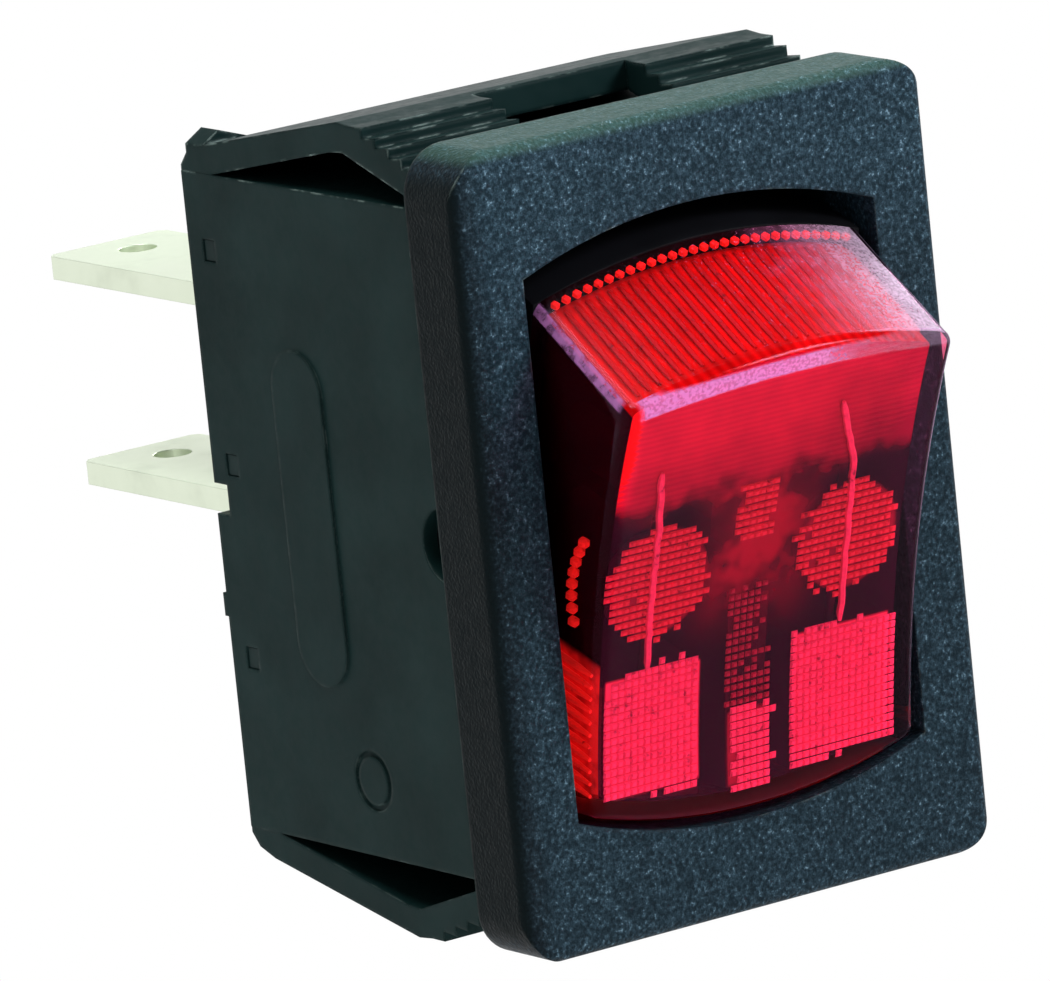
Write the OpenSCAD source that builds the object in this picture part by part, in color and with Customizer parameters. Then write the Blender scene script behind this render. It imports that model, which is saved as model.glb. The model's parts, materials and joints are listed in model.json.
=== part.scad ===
// Illuminated double-pole panel rocker switch.
// X is across the switch, Y runs from the face to the rear, Z is up.
// The origin is the middle of the bezel's back face, which seats on the panel.

/* [Bezel] */
// Width of the bezel
bezel_w = 19; // [18.2:0.1:24]
// Height of the bezel
bezel_h = 27; // [26:0.1:34]
// Thickness of the bezel in front of the panel
bezel_t = 2.8; // [2:0.1:4]
// Radius of the bezel's four corners, seen from the front
bezel_corner_r = 1.6; // [0.6:0.1:3]
// Radius of the bezel's front edges
bezel_edge_r = 0.45; // [0.2:0.05:0.9]

/* [Body] */
// Width of the moulded body behind the panel
body_w = 16.8; // [16.4:0.1:18]
// Height of the moulded body behind the panel
body_h = 22.5; // [22.3:0.1:24]
// Depth of the body behind the panel
body_d = 14.7; // [14:0.1:20]
// Height of the rear compartment that holds the contacts
compartment_h = 19.2; // [18.8:0.1:20]
// Depth at which the rear compartment starts
compartment_y = 7; // [6:0.1:7.5]
// Length of the raised pad on each side
pad_l = 11.4; // [6:0.1:14]
// Width of the raised pad on each side
pad_w = 2.85; // [1.5:0.05:4]
// Height of the raised pad, and depth of the round mark
relief = 0.1; // [0.05:0.05:0.2]
// Radius of the round mark on each side
mark_r = 1.03; // [0.6:0.01:1.6]

/* [Opening] */
// Width of the rocker's opening
opening_w = 14.2; // [13.6:0.1:14.4]
// Height of the opening at its sides
opening_h = 18.1; // [17.6:0.1:18.5]
// Rise of the arched top and bottom of the opening
opening_rise = 1.3; // [0.8:0.05:1.5]

/* [Snap wings] */
// Rise of the wing's crest over the body
wing_rise = 2.5; // [1.8:0.05:2.8]
// Depth of the crest behind the panel
wing_crest_y = 5.25; // [4.5:0.05:7]
// Thickness of the wing
wing_t = 1; // [0.7:0.05:1.2]
// Gap between the wing's free end and the bezel
wing_end_gap = 0.55; // [0.3:0.05:1]
// Number of steps on the wing's ramp
wing_steps = 5; // [3:1:7]
// Width of the window between the wing's two ramps
wing_window_w = 6.2; // [3:0.1:9]

/* [Rocker] */
// Full throw of the rocker in degrees
throw = 35; // [28:1:36]
// Depth of the rocker's pivot behind the panel
pivot_y = 1.3; // [1.25:0.05:1.6]
// Radius of the pivot pins
pivot_r = 1.2; // [0.9:0.05:1.2]
// Gap between the rocker's sides and the opening
rocker_side_gap = 0.5; // [0.3:0.05:0.8]
// Distance from the pivot's plane to the rocker's ridges
ridge_y = 6.8; // [6:0.05:7.2]
// Half of the height between the ridges, at the rocker's sides
ridge_z = 7.27; // [6.8:0.01:7.4]
// Depth of the hollow in the rocker's face
face_dip = 0.64; // [0.3:0.01:1]
// Wall of the red lens
lens_t = 0.6; // [0.5:0.05:0.8]
// Chamfer along the lens's four side edges
lens_chamfer = 0.35; // [0.15:0.05:0.5]
// Wall of the carrier
carrier_t = 0.8; // [0.6:0.05:1]

/* [Plungers] */
// Distance of each pole's middle from the opening's side
pole_in = 3.2; // [3:0.05:3.3]
// Distance from the pivot to a plunger's tip
plunger_reach = 8.4; // [8.2:0.05:8.45]
// Radius of a plunger's tip
tip_r = 0.8; // [0.6:0.05:0.9]
// Radius of a plunger's shank
plunger_r = 0.95; // [0.8:0.01:1.1]
// Outer radius of the posts that guide the plungers
post_r = 1.85; // [1.6:0.05:1.95]
// Travel of a plunger into its post
plunger_travel = 0.5; // [0.3:0.05:0.6]
// Radius of the spring's wire
spring_wire_r = 0.12; // [0.08:0.01:0.15]
// Number of turns of a spring
spring_turns = 6; // [4:1:8]

/* [Contacts] */
// Depth of the edge that a blade rocks on
fulcrum_y = 10.4; // [10.35:0.05:10.8]
// Angle by which each arm of a blade leans forward
blade_v = 14; // [12:0.5:15]
// Thickness of a blade
blade_t = 0.4; // [0.3:0.05:0.45]
// Width of a blade
blade_w = 4; // [3:0.1:4.2]
// Length of each arm of a blade
blade_arm = 9.3; // [9.2:0.05:9.4]
// Distance of the contact from the fulcrum, along the arm
contact_s = 8.1; // [7.6:0.05:8.1]
// Radius of a contact's head
contact_r = 1.15; // [0.8:0.05:1.2]
// Thickness of a contact's head
contact_t = 0.55; // [0.4:0.05:0.6]
// Turn of a blade for each degree of the rocker
blade_ratio = 0.25; // [0.2:0.01:0.28]

/* [Terminals] */
// Width of a terminal's tab
tab_w = 4.75; // [3.8:0.05:4.8]
// Thickness of the terminals' sheet
tab_t = 0.8; // [0.5:0.05:0.8]
// Distance of each tab's edge from the body's side
tab_in = 0.72; // [0.5:0.02:1]
// Width of the neck that passes through the rear plate
neck_w = 3.6; // [3:0.1:3.8]
// Height of the upper tabs' middle
load_z = 6.8; // [6.6:0.05:7]
// Height of the centre tabs' middle
line_z = -0.25; // [-0.4:0.05:0]
// Depth of the upper tabs' tips
load_tip_y = 24.7; // [20:0.1:28]
// Depth of the centre tabs' tips
line_tip_y = 23.9; // [20:0.1:28]
// Radius of the hole in each tab
tab_hole_r = 0.67; // [0.4:0.01:0.9]
// Distance of the hole from the tab's tip
tab_hole_in = 2; // [1.5:0.1:4]
// Thickness of the rear plate
base_t = 1.8; // [1.4:0.1:2]

/* [Lamp] */
// Radius of the lamp's glass
lamp_r = 1.1; // [0.8:0.05:1.2]
// Length of the lamp's glass
lamp_l = 7.2; // [5:0.1:7.2]
// Height of the lamp in the rocker
lamp_z = 5.2; // [5:0.05:5.4]
// Width of each contact pad
pad_face_w = 3.9; // [3:0.1:4]
// Radius of each round pillar
pillar_r = 1.8; // [1.2:0.05:1.85]
// Radius of a lead
lead_r = 0.15; // [0.1:0.01:0.2]
// Radius of the resistor's body
resistor_r = 0.75; // [0.5:0.05:0.8]
// Length of the resistor's body
resistor_l = 2.2; // [1.5:0.1:2.4]

/* [Fits] */
// Gap between the rocker's ends and the opening
rocker_gap = 0.28; // [0.2:0.02:0.4]
// Radial clearance of a pin or a plunger
turn_gap = 0.06; // [0.02:0.01:0.08]
// Clearance round pieces that are pressed or snapped in
seat_gap = 0.03; // [0.02:0.01:0.06]
// Gap left between two closed contacts
touch_gap = 0.04; // [0.02:0.01:0.08]

/* [Hidden] */
$fn = 64;
eps = 0.01;
over = 1;
far = 50;
SIDES = [-1, 1];

black = [0.06, 0.065, 0.07];
dark = [0.12, 0.12, 0.12];
tin = [0.82, 0.81, 0.76];
copper = [0.78, 0.5, 0.3];
silver = [0.85, 0.85, 0.86];
red = [0.8, 0.03, 0.06, 0.7];
milk = [0.95, 0.9, 0.88];
amber = [1, 0.6, 0.3];
sand = [0.75, 0.65, 0.5];

// Opening: an arc of arch_r rises over each end
arch_r = (pow(opening_w / 2, 2) + pow(opening_rise, 2)) / (2 * opening_rise);
arch_top = opening_h / 2 + opening_rise;
arch_mid = arch_top - arch_r;
cavity_r = 0.4;

// Body
base_ledge = 0.3;
base_w = opening_w + 2 * base_ledge;
base_h = compartment_h + 2 * base_ledge;
base_y = body_d - base_t;
base_set_in = 0.1;
pad_y = 9.08;
mark_y = 7;
mark_z = -8.65;
mark_ring = 0.2;
window_z = [8.63, 1.32, -5.3];
lug_h = 0.7;
lug_d = 0.6;
lug_y = base_y + 0.3;
lug_in = 0.05;
nub_z = -3.6;
nub_h = 0.8;
nub_d = 0.2;
nub_w = 0.5;

// Wing outline, seen from the side
wing_top = body_h / 2 + wing_rise;
wing_w = body_w - 0.04;
wing_land = 0.75;
wing_land_z = 0.07;
wing_step_y = 0.72;
wing_step_z = 0.27;
wing_bite = 0.08;
wing_heel_y = [0, 0.4, 1.25];
wing_heel_z = [0.2, 0.65, 0.95];
wing_root_d = 1.7;
wing_lead_z = 0.3;
wing_end_t = 0.8 * wing_t;
window_rim = 0.35;
window_floor = 0.02;
gate_w = 1.9;
gate_l = 1;
gate_h = 0.42;
gate_peak = 0.7;

// Notch beside each centre tab
notch_d = 0.75;
notch_z = [-0.2, 0.85];

// Poles
pole_x = opening_w / 2 - pole_in;

// Rocker, in its own frame: pivot at the origin, mid-throw
rest_tilt = throw / 2;
rocker_w = opening_w - 2 * rocker_side_gap;
rocker_arch_r = arch_r - rocker_gap;
skirt_r = arch_mid + sqrt(pow(rocker_arch_r, 2) - pow(rocker_w / 2, 2));
lens_base_y = 1.2;
lens_base_z = sqrt(pow(skirt_r, 2) - pow(lens_base_y, 2));
end_slope = atan((lens_base_z - ridge_z) / (ridge_y - lens_base_y));
end_r = 21.5;
end_sag = end_r - sqrt(pow(end_r, 2) - pow(rocker_w / 2, 2));
face_r = (pow(ridge_z, 2) + pow(face_dip, 2)) / (2 * face_dip);
face_axis_y = -ridge_y + face_dip - face_r;
skirt_end_y = 1.3;
deck_y = -0.6;
deck_t = 0.9;
carrier_end_t = 1.1;
carrier_pocket_h = 2 * (skirt_r - carrier_end_t);
pin_in = 0.5;
pin_collar = 0.4;

// Plunger and spring, along the post
plunger_head = 1.5;
plunger_neck = plunger_reach - plunger_head;
plunger_bare = 0.4;
post_end = plunger_neck - plunger_travel - plunger_bare;
bore_r = plunger_r + turn_gap;
bore_floor = 0.9;
plunger_back = 3.6;
spring_gap = 0.08;
spring_r = bore_r - spring_wire_r - spring_gap;
spring_steps = 14;
wire_sides = 6;
spring_clear = 0.05;

// Blade poses: leaning angle of the closed arm and of the open one
blade_swing = throw * blade_ratio / 2;
closed_lean = blade_v - blade_swing;
blade_lap = 0.05;
fulcrum_z = line_z;
nose_r = tab_t / 2;
nose_y = fulcrum_y + nose_r + touch_gap;
dome_r = 2.2;
shank_r = 0.6;
blade_pt = [fulcrum_y - contact_s * sin(closed_lean), fulcrum_z + contact_s * cos(closed_lean)];
dome_y = blade_pt[0] + (contact_t - dome_r) * cos(closed_lean) + dome_r;
dome_z = blade_pt[1] + (contact_t - dome_r) * sin(closed_lean);
fixed_y = dome_y + touch_gap;
plate_y = fixed_y + contact_t;
stop_s = 7;
stop_h = 1.2;
stop_w = 2.4;
stop_gap = 0.08;
stop_y = fulcrum_y - (stop_s - stop_h / 2) * sin(closed_lean) + stop_gap;
stop_z = fulcrum_z - stop_s * cos(closed_lean);
barrier_t = 1.2;
barrier_y = 8.4;
barrier_h = 18;

// Terminals
tab_x = body_w / 2 - tab_in - tab_w / 2;
neck_in = 0.5;
neck_x1 = opening_w / 2 - neck_in;
neck_x0 = neck_x1 - neck_w;
inner_x0 = pole_x - blade_w / 2 + 0.2;
shoulder_gap = 0.05;
horn_gap = 0.1;
horn_d = 0.8;
plate_top_z = 9;
bend_r = 0.3;
tab_tip_bevel = 0.25;

// Lamp parts, in the rocker's frame
holder_gap = 0.25;
end_gap = 0.05;
holder_w = rocker_w - 2 * (carrier_t + holder_gap);
holder_h = carrier_pocket_h - 2 * holder_gap;
holder_y = -lens_base_y - end_gap;
under_lens = 0.08;
bar_z = [3.4, 8.2];
pad_side = 0.1;
pad_face_x = rocker_w / 2 - lens_t - under_lens - pad_side - pad_face_w / 2;
pad_face_z = [-3.2, -7.9];
rib_w = 1.6;
rib_z = [-1.2, -8.2];
lamp_y = -3.75;
resistor_z = 1.6;
resistor_y = -4.35;
saddle_w = 1;
saddle_h = 1.4;
lead_y = -5.05;
lead_gap = 0.03;
lead_x = lamp_l / 2 + lead_r + end_gap;

// ---------------------------------------------------------------- helpers

// Extrudes an outline drawn in Y and Z from x0 to x1
module across(x0, x1) {
    translate([x0, 0, 0]) rotate([90, 0, 90]) linear_extrude(x1 - x0) children();
}

// Extrudes an outline drawn in X and Z from y0 to y1
module deep(y0, y1) {
    translate([0, y1, 0]) rotate([90, 0, 0]) linear_extrude(y1 - y0) children();
}

// A block between two corners
module block(a, b) {
    translate(a) cube(b - a);
}

// A cylinder along X between x0 and x1
module rod_x(r, x0, x1) {
    translate([x0, 0, 0]) rotate([0, 90, 0]) cylinder(r = r, h = x1 - x0);
}

// A cylinder along Y between y0 and y1
module rod_y(r, y0, y1) {
    translate([0, y1, 0]) rotate([90, 0, 0]) cylinder(r = r, h = y1 - y0);
}

module rounded_rect(w, h, r) {
    square([w - 2 * r, h], center = true);
    square([w, h - 2 * r], center = true);
    for (x = SIDES, z = SIDES) translate([x * (w / 2 - r), z * (h / 2 - r)]) circle(r);
}

// Section of a slab from y = -t to 0 whose two front corners are rounded
module rounded_front(w, t, r) {
    translate([-w / 2, -t + r]) square([w, t - r]);
    translate([-w / 2 + r, -t]) square([w - 2 * r, t]);
    for (x = SIDES) translate([x * (w / 2 - r), -t + r]) circle(r);
}

// The opening's outline: straight sides and arched ends
module arched() {
    intersection() {
        square([opening_w, 3 * arch_top], center = true);
        for_both_arcs();
    }
}

module for_both_arcs() {
    intersection() {
        translate([0, arch_mid]) circle(arch_r, $fn = 128);
        translate([0, -arch_mid]) circle(arch_r, $fn = 128);
    }
}

// Puts the rocker's frame into the switch, top edge out
module at_rest() {
    translate([0, pivot_y, 0]) rotate([rest_tilt, 0, 0]) children();
}

// Puts a blade's frame into the switch, upper contact closed
module blade_at_rest() {
    translate([0, fulcrum_y, fulcrum_z]) rotate([-blade_swing, 0, 0]) children();
}

// ---------------------------------------------------------------- housing

module bezel() {
    intersection() {
        deep(-bezel_t, 0) rounded_rect(bezel_w, bezel_h, bezel_corner_r);
        translate([0, 0, -bezel_h]) linear_extrude(2 * bezel_h)
            rounded_front(bezel_w, bezel_t, bezel_edge_r);
        rotate([0, 90, 0]) translate([0, 0, -bezel_w]) linear_extrude(2 * bezel_w)
            rounded_front(bezel_h, bezel_t, bezel_edge_r);
    }
}

// Outline of the upper wing in Y and Z
function wing_ramp(i) = [wing_crest_y - wing_land - floor((i + 1) / 2) * wing_step_y,
                         wing_top - wing_land_z - floor(i / 2) * wing_step_z
                         - (i > 0 && i % 2 == 0 ? wing_bite : 0)];

module wing_outline() {
    root = body_h / 2;
    end_z = wing_top - wing_steps * wing_step_z - wing_lead_z;
    inner_z = wing_top - wing_t;
    polygon(concat(
        [[body_d, root - wing_root_d]],
        [for (i = [0 : 2]) [body_d - wing_heel_y[i], root + wing_heel_z[i]]],
        [[wing_crest_y, wing_top]],
        [for (i = [0 : 2 * wing_steps]) wing_ramp(i)],
        [[wing_end_gap, end_z], [wing_end_gap, end_z - wing_end_t],
         [wing_crest_y - wing_land - wing_t / 4, inner_z - wing_t / 4],
         [wing_crest_y - wing_t / 4, inner_z], [wing_crest_y + wing_t / 2, inner_z - wing_t / 20],
         [body_d - wing_root_d, root], [body_d - wing_root_d, root - wing_root_d]]
    ));
}

module wing() {
    difference() {
        across(-wing_w / 2, wing_w / 2) wing_outline();
        block([-wing_window_w / 2, -over, body_h / 2 + window_floor],
              [wing_window_w / 2, wing_crest_y - window_rim, wing_top + over]);
    }
}

// Stub that the mould's gate leaves on the heel of the upper wing
module gate_stub() {
    z0 = body_h / 2 + wing_heel_z[1];
    z1 = body_h / 2 + wing_heel_z[2];
    y1 = body_d - wing_heel_y[1];
    deep(y1 - gate_l, y1) translate([-wing_w / 2, 0])
        polygon([[0, z0], [0, z1], [gate_peak, z1 + gate_h], [gate_w, z1], [gate_w, z0]]);
}

module pad_outline() {
    r = pad_w / 2;
    square([pad_w, pad_l - 2 * r], center = true);
    for (z = SIDES) translate([0, z * (pad_l / 2 - r)]) circle(r);
}

module housing() {
    color(black) difference() {
        union() {
            bezel();
            block([-body_w / 2, -eps, -body_h / 2], [body_w / 2, body_d, body_h / 2]);
            for (z = [0, 1]) mirror([0, 0, z]) wing();
            gate_stub();
            for (s = SIDES) translate([0, pad_y, 0])
                across(min(0, s * (body_w / 2 + relief)), max(0, s * (body_w / 2 + relief))) pad_outline();
            block([-body_w / 2, body_d - over, nub_z - nub_h / 2],
                  [-body_w / 2 + nub_w, body_d + nub_d, nub_z + nub_h / 2]);
        }
        deep(-bezel_t - over, compartment_y) arched();
        deep(compartment_y - eps, body_d + over) rounded_rect(opening_w, compartment_h, cavity_r);
        deep(base_y, body_d + over) rounded_rect(base_w, base_h, cavity_r);
        translate([0, pivot_y, 0]) rod_x(pivot_r + turn_gap, -body_w, body_w);
        for (m = [0, 1], z = window_z) mirror([m, 0, 0])
            block([base_w / 2 - over, lug_y - seat_gap, z - lug_h / 2 - seat_gap],
                  [body_w / 2 + over, lug_y + lug_d + seat_gap, z + lug_h / 2 + seat_gap]);
        for (s = SIDES) translate([s * (body_w / 2), mark_y, mark_z]) mark_groove();
        for (m = [0, 1]) mirror([m, 0, 0])
            block([base_w / 2 - eps, body_d - notch_d, line_z + notch_z[0]],
                  [body_w, body_d + over, line_z + notch_z[1]]);
    }
}

// Ring-shaped groove along X, cut into a side of the body
module mark_groove() {
    difference() {
        rod_x(mark_r, -relief, relief);
        rod_x(mark_r - mark_ring, -over, over);
    }
}

// ---------------------------------------------------------------- base and terminals

module terminal_slot(z) {
    g = seat_gap;
    for (m = [0, 1]) mirror([m, 0, 0])
        block([neck_x0 - g, base_y - over, z - tab_t / 2 - g],
              [neck_x1 + g, body_d + over, z + tab_t / 2 + g]);
}

module terminal_base() {
    g = seat_gap;
    color(dark) difference() {
        union() {
            deep(base_y, body_d - base_set_in) rounded_rect(base_w - 2 * g, base_h - 2 * g, cavity_r - g);
            block([-barrier_t / 2, barrier_y, -barrier_h / 2], [barrier_t / 2, base_y + eps, barrier_h / 2]);
            for (x = SIDES) translate([x * pole_x, 0, stop_z])
                block([-stop_w / 2, stop_y, -stop_h / 2], [stop_w / 2, base_y + eps, stop_h / 2]);
            for (m = [0, 1], z = window_z) mirror([m, 0, 0])
                block([base_w / 2 - over, lug_y, z - lug_h / 2],
                      [body_w / 2 - lug_in, lug_y + lug_d, z + lug_h / 2]);
        }
        terminal_slot(load_z);
        terminal_slot(line_z);
    }
}

// Tab of a right-hand terminal with its neck through the rear plate
module tab(z, tip_y) {
    translate([0, 0, z - tab_t / 2]) difference() {
        linear_extrude(tab_t) {
            translate([neck_x0, base_y - eps]) square([neck_x1 - neck_x0, body_d - base_y + 2 * shoulder_gap]);
            polygon([
                [tab_x - tab_w / 2, body_d + shoulder_gap], [tab_x + tab_w / 2, body_d + shoulder_gap],
                [tab_x + tab_w / 2, tip_y - tab_tip_bevel], [tab_x + tab_w / 2 - tab_tip_bevel, tip_y],
                [tab_x - tab_w / 2 + tab_tip_bevel, tip_y], [tab_x - tab_w / 2, tip_y - tab_tip_bevel]
            ]);
        }
        translate([tab_x, tip_y - tab_hole_in, -over]) cylinder(r = tab_hole_r, h = tab_t + 2 * over);
    }
}

module terminal_line() {
    color(tin) {
        tab(line_z, line_tip_y);
        block([inner_x0, nose_y, line_z - tab_t / 2], [neck_x1, base_y, line_z + tab_t / 2]);
        translate([0, nose_y, line_z]) rod_x(nose_r, inner_x0, pole_x + blade_w / 2 - horn_gap);
        block([pole_x + blade_w / 2 + horn_gap, fulcrum_y - horn_d, line_z - tab_t / 2],
              [neck_x1, base_y, line_z + tab_t / 2]);
    }
}

// Section of a right-angle bend: along Y at the terminal's height, then up behind the contact
module load_section() {
    z0 = load_z - tab_t / 2;
    r_out = bend_r + tab_t;
    translate([plate_y, z0 + r_out]) square([tab_t, plate_top_z - z0 - r_out]);
    translate([plate_y + r_out, z0]) square([base_y - plate_y - r_out, tab_t]);
    translate([plate_y + r_out, z0 + r_out]) intersection() {
        difference() {
            circle(r_out);
            circle(bend_r);
        }
        translate([-r_out, -r_out]) square(r_out);
    }
}

module terminal_load() {
    color(tin) {
        tab(load_z, load_tip_y);
        difference() {
            across(inner_x0, neck_x1) load_section();
            translate([pole_x, 0, dome_z]) rod_y(shank_r + seat_gap, plate_y - over, plate_y + tab_t + over);
        }
    }
}

module fixed_contact() {
    color(silver) translate([pole_x, 0, dome_z]) {
        rod_y(contact_r, fixed_y, plate_y);
        rod_y(shank_r, plate_y - eps, plate_y + tab_t);
    }
}

// ---------------------------------------------------------------- blades

// The blade's frame has its fulcrum at the origin and the blade's rear face on it
module blade_arm() {
    rotate([blade_v, 0, 0]) difference() {
        block([pole_x - blade_w / 2, -blade_t, -blade_lap], [pole_x + blade_w / 2, 0, blade_arm]);
        translate([pole_x, 0, contact_s]) rod_y(shank_r + seat_gap, -blade_t - over, over);
    }
}

module contact_blade() {
    color(copper) blade_at_rest() {
        blade_arm();
        mirror([0, 0, 1]) rotate([blade_v, 0, 0])
            block([pole_x - blade_w / 2, -blade_t, -blade_lap], [pole_x + blade_w / 2, 0, blade_arm]);
    }
}

module moving_contact() {
    color(silver) blade_at_rest() rotate([blade_v, 0, 0]) translate([pole_x, 0, contact_s]) {
        intersection() {
            rod_y(contact_r, 0, contact_t);
            translate([0, contact_t - dome_r, 0]) sphere(dome_r, $fn = 96);
        }
        rod_y(shank_r, -blade_t, eps);
    }
}

// ---------------------------------------------------------------- rocker

// Solid swept by the rocker's arched ends about the pivot
module swept_ends() {
    rotate([0, 90, 0]) rotate_extrude($fn = 128) intersection() {
        translate([0, -rocker_w / 2]) square([2 * arch_top, rocker_w]);
        translate([arch_mid, 0]) circle(rocker_arch_r, $fn = 128);
    }
}

// Block bounded by the rocker's flared, arched end walls and its two sides
module flared(inset) {
    w = rocker_w / 2 - inset;
    intersection() {
        block([-w, -2 * ridge_y, -2 * ridge_z], [w, -lens_base_y, 2 * ridge_z]);
        for_both_ends(inset);
    }
}

module for_both_ends(inset) {
    intersection() {
        end_cylinder(inset);
        mirror([0, 0, 1]) end_cylinder(inset);
    }
}

// The cylinder whose far side is the upper end wall
module end_cylinder(inset) {
    translate([0, -lens_base_y, lens_base_z]) rotate([end_slope, 0, 0])
        translate([0, 0, end_sag - end_r]) rod_y(end_r - inset, -far, far);
}

module face_cutter(depth) {
    translate([0, face_axis_y, 0]) rod_x(face_r + depth, -rocker_w, rocker_w);
}

// Wedge that takes the chamfer off an end wall's side edge
module edge_cutter() {
    c = lens_chamfer * sqrt(2);
    translate([rocker_w / 2, -lens_base_y, lens_base_z]) rotate([end_slope, 0, 0]) rotate([0, -45, 0])
        block([-c / 2, -far, -2 * c], [2 * c, far, 2 * c]);
}

module rocker_lens() {
    color(red) at_rest() difference() {
        flared(0);
        face_cutter(0);
        difference() {
            flared(lens_t);
            face_cutter(lens_t);
            block([-far, -lens_base_y - eps, -far], [far, far, far]);
        }
        block([-rocker_w / 2 + lens_t, -lens_base_y - 2 * eps, -lens_base_z + lens_t],
              [rocker_w / 2 - lens_t, over, lens_base_z - lens_t]);
        for (x = [0, 1], z = [0, 1]) mirror([x, 0, 0]) mirror([0, 0, z]) edge_cutter();
    }
}

module rocker_carrier() {
    w = rocker_w / 2;
    h = carrier_pocket_h / 2;
    color(black) at_rest() difference() {
        union() {
            intersection() {
                union() {
                    swept_ends();
                    rod_x(pivot_r + pin_collar, -w, w);
                }
                block([-w, -lens_base_y, -2 * h], [w, 2 * skirt_end_y, 2 * h]);
                union() {
                    block([-w, -2 * h, -2 * h], [w, skirt_end_y, 2 * h]);
                    rod_x(pivot_r + pin_collar, -w, w);
                }
            }
            for (m = [0, 1]) mirror([m, 0, 0]) {
                rod_x(pivot_r, w - carrier_t, body_w / 2 - pin_in);
                translate([pole_x, 0, 0]) rod_y(post_r, deck_y, post_end);
            }
        }
        block([-w + carrier_t, -lens_base_y - over, -h], [w - carrier_t, deck_y, h]);
        difference() {
            block([-w + carrier_t, deck_y + deck_t, -h], [w - carrier_t, 2 * skirt_end_y, h]);
            for (s = SIDES) translate([s * pole_x, 0, 0]) rod_y(post_r, deck_y, post_end);
        }
        for (s = SIDES) translate([s * pole_x, 0, 0]) rod_y(bore_r, bore_floor, post_end + over);
    }
}

// ---------------------------------------------------------------- plungers and springs

module plunger() {
    color(silver) at_rest() translate([pole_x, 0, 0]) rotate([-90, 0, 0]) rotate_extrude() {
        translate([0, plunger_back]) square([plunger_r, plunger_neck - plunger_back]);
        polygon([[0, plunger_neck - eps], [plunger_r, plunger_neck - eps], [tip_r, plunger_reach - tip_r],
                 [0, plunger_reach - tip_r]]);
        intersection() {
            translate([0, plunger_reach - tip_r]) circle(tip_r);
            square([tip_r, plunger_reach + over]);
        }
    }
}

// Points of a ring round the helix at turn angle a
function coil_ring(a, pitch, y0) = [
    for (k = [0 : wire_sides - 1])
        let (b = 360 * k / wire_sides, r = spring_r + spring_wire_r * cos(b))
            [r * cos(a), y0 + pitch * a / 360 + spring_wire_r * sin(b), r * sin(a)]
];

function tube_faces(n, m) = concat(
    [[for (k = [0 : m - 1]) k]],
    [for (i = [0 : n - 2], k = [0 : m - 1])
        [i * m + k, (i + 1) * m + k, (i + 1) * m + (k + 1) % m, i * m + (k + 1) % m]],
    [[for (k = [m - 1 : -1 : 0]) (n - 1) * m + k]]
);

module plunger_spring() {
    y0 = bore_floor + spring_wire_r + spring_clear;
    pitch = (plunger_back - 2 * spring_wire_r - 2 * spring_clear - bore_floor) / spring_turns;
    n = spring_turns * spring_steps + 1;
    color(silver) at_rest() translate([pole_x, 0, 0]) polyhedron(
        points = [for (i = [0 : n - 1]) each coil_ring(360 * i / spring_steps, pitch, y0)],
        faces = tube_faces(n, wire_sides)
    );
}

// ---------------------------------------------------------------- lamp

// Keeps what it is given inside the lens, clear of its walls
module inside_lens() {
    difference() {
        intersection() {
            children();
            flared(lens_t + under_lens);
        }
        face_cutter(lens_t + under_lens);
    }
}

module lamp_holder() {
    hw = holder_w / 2;
    color(milk) at_rest() difference() {
        union() {
            block([-hw, holder_y, -holder_h / 2], [hw, deck_y, holder_h / 2]);
            inside_lens() {
                block([-rocker_w, -2 * ridge_y, bar_z[0]], [rocker_w, holder_y + eps, bar_z[1]]);
                for (s = SIDES) translate([s * pad_face_x, 0, 0])
                    block([-pad_face_w / 2, -2 * ridge_y, pad_face_z[1]],
                          [pad_face_w / 2, holder_y + eps, pad_face_z[0]]);
                block([-rib_w / 2, -2 * ridge_y, rib_z[1]], [rib_w / 2, holder_y + eps, rib_z[0]]);
            }
            for (s = SIDES) translate([s * pole_x, 0, 0])
                rod_y(pillar_r, lead_y + lead_r + lead_gap, holder_y + eps);
            translate([0, 0, resistor_z])
                block([-saddle_w / 2, resistor_y, -saddle_h / 2],
                      [saddle_w / 2, holder_y + eps, saddle_h / 2]);
        }
        lamp_channel();
        for (s = SIDES) translate([s * lead_x, 0, 0])
            block([-lead_r - lead_gap, -2 * ridge_y, bar_z[0] - over],
                  [lead_r + lead_gap, lead_y + lead_r + lead_gap, lamp_z]);
        translate([0, resistor_y, resistor_z])
            cylinder(r = resistor_r + seat_gap, h = resistor_l + 2 * end_gap, center = true);
    }
}

// Channel along X that holds the lamp, open to the front
module lamp_channel() {
    translate([0, lamp_y, lamp_z]) rod_x(lamp_r + seat_gap, -holder_w, holder_w);
    block([-holder_w, -2 * ridge_y, lamp_z - lamp_r - seat_gap],
          [holder_w, lamp_y, lamp_z + lamp_r + seat_gap]);
}

module lamp() {
    color(amber) at_rest() translate([0, lamp_y, lamp_z]) rotate([0, 90, 0]) rotate_extrude() {
        translate([0, lamp_r - lamp_l / 2]) square([lamp_r, lamp_l - 2 * lamp_r]);
        for (s = SIDES) intersection() {
            translate([0, s * (lamp_l / 2 - lamp_r)]) circle(lamp_r);
            translate([0, -lamp_l]) square([lamp_r, 2 * lamp_l]);
        }
    }
}

// Lead of the right-hand end of the lamp, down to its contact pad
module lamp_lead() {
    z0 = pad_face_z[0];
    color(tin) at_rest() translate([lead_x, 0, 0]) {
        translate([0, lead_y, z0]) cylinder(r = lead_r, h = lamp_z - z0);
        translate([0, lead_y, lamp_z]) sphere(lead_r);
        translate([0, 0, lamp_z]) rod_y(lead_r, lead_y, lamp_y);
    }
}

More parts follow.
